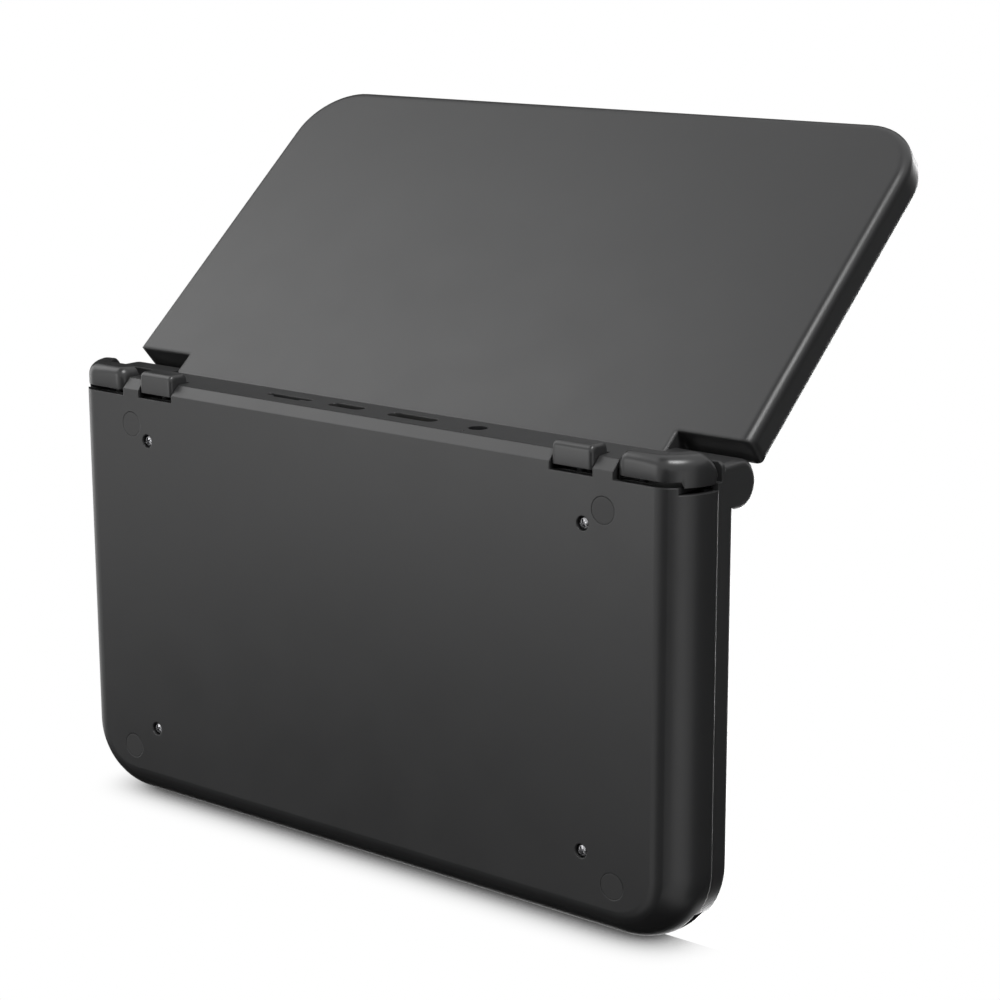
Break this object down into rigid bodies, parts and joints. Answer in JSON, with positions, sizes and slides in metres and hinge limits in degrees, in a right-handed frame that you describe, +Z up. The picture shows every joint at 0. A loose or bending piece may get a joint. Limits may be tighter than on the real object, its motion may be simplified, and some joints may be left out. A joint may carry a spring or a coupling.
{
  "type": "clamshell handheld game console",
  "caption": "Clamshell handheld game console: flat base with sticks, cross pad, buttons, shoulder keys and rear sockets, and a screen lid on a friction hinge.",
  "frame": {"origin": "centre of the base's flat underside, midway between the front and rear faces and between the two sides", "axes": "+X to the player's right, +Y to the hinge side where the sockets and shoulder keys are, +Z up out of the controls; the lid is stored open by 130.8 degrees"},
  "size_m": [0.155, 0.1419, 0.0817],
  "materials": {
    "housing_plastic": "fine matte grain",
    "bezel_plastic": "matte",
    "control_plastic": "satin",
    "board": "solder mask",
    "silicone": "soft matte",
    "pressed_steel": "satin",
    "hinge_steel": "satin",
    "screw_steel": "blackened",
    "black_rubber": "matte",
    "inner_plastic": "matte",
    "battery_foil": "foil",
    "cable_film": "polyimide film",
    "screen_glass": "polished",
    "display_panel": "black, switched off"
  },
  "bodies": {
    "base": {"bottom_cover": "housing_plastic", "top_shell": "housing_plastic", "main_board": "board", "processor_shield": "pressed_steel", "battery": "battery_foil", "left_control_board": "board", "right_control_board": "board", "left_membrane": "silicone", "right_membrane": "silicone", "key_switches": "pressed_steel", "shoulder_switches": "pressed_steel", "memory_card_socket": "pressed_steel", "charging_socket": "pressed_steel", "video_socket": "pressed_steel", "audio_socket": "inner_plastic", "lanyard_pin": "hinge_steel", "rubber_feet": "black_rubber", "housing_screws": "screw_steel", "left_stick_module": "inner_plastic", "right_stick_module": "inner_plastic", "left_hinge_sleeve": "hinge_steel", "right_hinge_sleeve": "hinge_steel"},
    "lid": {"lid_cover": "housing_plastic", "lid_bezel": "bezel_plastic", "screen_glass": "screen_glass", "display_panel": "display_panel", "display_cable": "cable_film", "left_speaker": "inner_plastic", "right_speaker": "inner_plastic", "lid_bumpers": "black_rubber", "lid_screws": "screw_steel", "left_hinge_pin": "hinge_steel", "right_hinge_pin": "hinge_steel"},
    "left_stick_gimbal": {"left_stick_gimbal": "pressed_steel"},
    "left_stick_cap": {"left_stick_cap": "control_plastic"},
    "right_stick_gimbal": {"right_stick_gimbal": "pressed_steel"},
    "right_stick_cap": {"right_stick_cap": "control_plastic"},
    "cross_pad_pivot": {"cross_pad_pivot": "pressed_steel"},
    "cross_pad": {"cross_pad": "control_plastic"},
    "face_button_top": {"face_button_top": "control_plastic"},
    "face_button_right": {"face_button_right": "control_plastic"},
    "face_button_bottom": {"face_button_bottom": "control_plastic"},
    "face_button_left": {"face_button_left": "control_plastic"},
    "volume_up_key": {"volume_up_key": "control_plastic"},
    "volume_down_key": {"volume_down_key": "control_plastic"},
    "select_key": {"select_key": "control_plastic"},
    "back_key": {"back_key": "control_plastic"},
    "power_key": {"power_key": "control_plastic"},
    "start_key": {"start_key": "control_plastic"},
    "home_key": {"home_key": "control_plastic"},
    "left_corner_shoulder_key": {"left_corner_shoulder_key": "housing_plastic"},
    "left_inner_shoulder_key": {"left_inner_shoulder_key": "housing_plastic"},
    "right_corner_shoulder_key": {"right_corner_shoulder_key": "housing_plastic"},
    "right_inner_shoulder_key": {"right_inner_shoulder_key": "housing_plastic"}
  },
  "joints": [
    {"name": "lid_hinge", "type": "hinge", "parent": "base", "child": "lid", "pos_m": [0, 0.03966, 0.01713], "axis": [-1, 0, 0], "range_deg": [-130.8, 49.2]},
    {"name": "left_stick_forward_back", "type": "hinge", "parent": "base", "child": "left_stick_gimbal", "pos_m": [-0.059, 0.019, 0.0091], "axis": [1, 0, 0], "range_deg": [-12, 12], "stiffness_Nm_per_rad": 0.05},
    {"name": "left_stick_left_right", "type": "hinge", "parent": "left_stick_gimbal", "child": "left_stick_cap", "pos_m": [-0.059, 0.019, 0.0091], "axis": [0, 1, 0], "range_deg": [-12, 12], "stiffness_Nm_per_rad": 0.05},
    {"name": "right_stick_forward_back", "type": "hinge", "parent": "base", "child": "right_stick_gimbal", "pos_m": [0.059, 0.019, 0.0091], "axis": [1, 0, 0], "range_deg": [-12, 12], "stiffness_Nm_per_rad": 0.05},
    {"name": "right_stick_left_right", "type": "hinge", "parent": "right_stick_gimbal", "child": "right_stick_cap", "pos_m": [0.059, 0.019, 0.0091], "axis": [0, 1, 0], "range_deg": [-12, 12], "stiffness_Nm_per_rad": 0.05},
    {"name": "cross_pad_forward_back", "type": "hinge", "parent": "base", "child": "cross_pad_pivot", "pos_m": [-0.059, -0.01, 0.01063], "axis": [1, 0, 0], "range_deg": [-3, 3], "stiffness_Nm_per_rad": 0.15},
    {"name": "cross_pad_left_right", "type": "hinge", "parent": "cross_pad_pivot", "child": "cross_pad", "pos_m": [-0.059, -0.01, 0.01063], "axis": [0, 1, 0], "range_deg": [-3, 3], "stiffness_Nm_per_rad": 0.15},
    {"name": "face_button_top_press", "type": "slide", "parent": "base", "child": "face_button_top", "axis": [0, 0, -1], "range_m": [0, 0.0008], "stiffness_N_per_m": 1200},
    {"name": "face_button_right_press", "type": "slide", "parent": "base", "child": "face_button_right", "axis": [0, 0, -1], "range_m": [0, 0.0008], "stiffness_N_per_m": 1200},
    {"name": "face_button_bottom_press", "type": "slide", "parent": "base", "child": "face_button_bottom", "axis": [0, 0, -1], "range_m": [0, 0.0008], "stiffness_N_per_m": 1200},
    {"name": "face_button_left_press", "type": "slide", "parent": "base", "child": "face_button_left", "axis": [0, 0, -1], "range_m": [0, 0.0008], "stiffness_N_per_m": 1200},
    {"name": "volume_up_key_press", "type": "slide", "parent": "base", "child": "volume_up_key", "axis": [0, 0, -1], "range_m": [0, 0.0004], "stiffness_N_per_m": 2000},
    {"name": "volume_down_key_press", "type": "slide", "parent": "base", "child": "volume_down_key", "axis": [0, 0, -1], "range_m": [0, 0.0004], "stiffness_N_per_m": 2000},
    {"name": "select_key_press", "type": "slide", "parent": "base", "child": "select_key", "axis": [0, 0, -1], "range_m": [0, 0.0004], "stiffness_N_per_m": 2000},
    {"name": "back_key_press", "type": "slide", "parent": "base", "child": "back_key", "axis": [0, 0, -1], "range_m": [0, 0.0004], "stiffness_N_per_m": 2000},
    {"name": "power_key_press", "type": "slide", "parent": "base", "child": "power_key", "axis": [0, 0, -1], "range_m": [0, 0.0004], "stiffness_N_per_m": 2000},
    {"name": "start_key_press", "type": "slide", "parent": "base", "child": "start_key", "axis": [0, 0, -1], "range_m": [0, 0.0004], "stiffness_N_per_m": 2000},
    {"name": "home_key_press", "type": "slide", "parent": "base", "child": "home_key", "axis": [0, 0, -1], "range_m": [0, 0.0004], "stiffness_N_per_m": 2000},
    {"name": "left_corner_shoulder_key_press", "type": "slide", "parent": "base", "child": "left_corner_shoulder_key", "axis": [0, -1, 0], "range_m": [0, 0.0008], "stiffness_N_per_m": 1500},
    {"name": "left_inner_shoulder_key_press", "type": "slide", "parent": "base", "child": "left_inner_shoulder_key", "axis": [0, -1, 0], "range_m": [0, 0.0008], "stiffness_N_per_m": 1500},
    {"name": "right_corner_shoulder_key_press", "type": "slide", "parent": "base", "child": "right_corner_shoulder_key", "axis": [0, -1, 0], "range_m": [0, 0.0008], "stiffness_N_per_m": 1500},
    {"name": "right_inner_shoulder_key_press", "type": "slide", "parent": "base", "child": "right_inner_shoulder_key", "axis": [0, -1, 0], "range_m": [0, 0.0008], "stiffness_N_per_m": 1500}
  ]
}
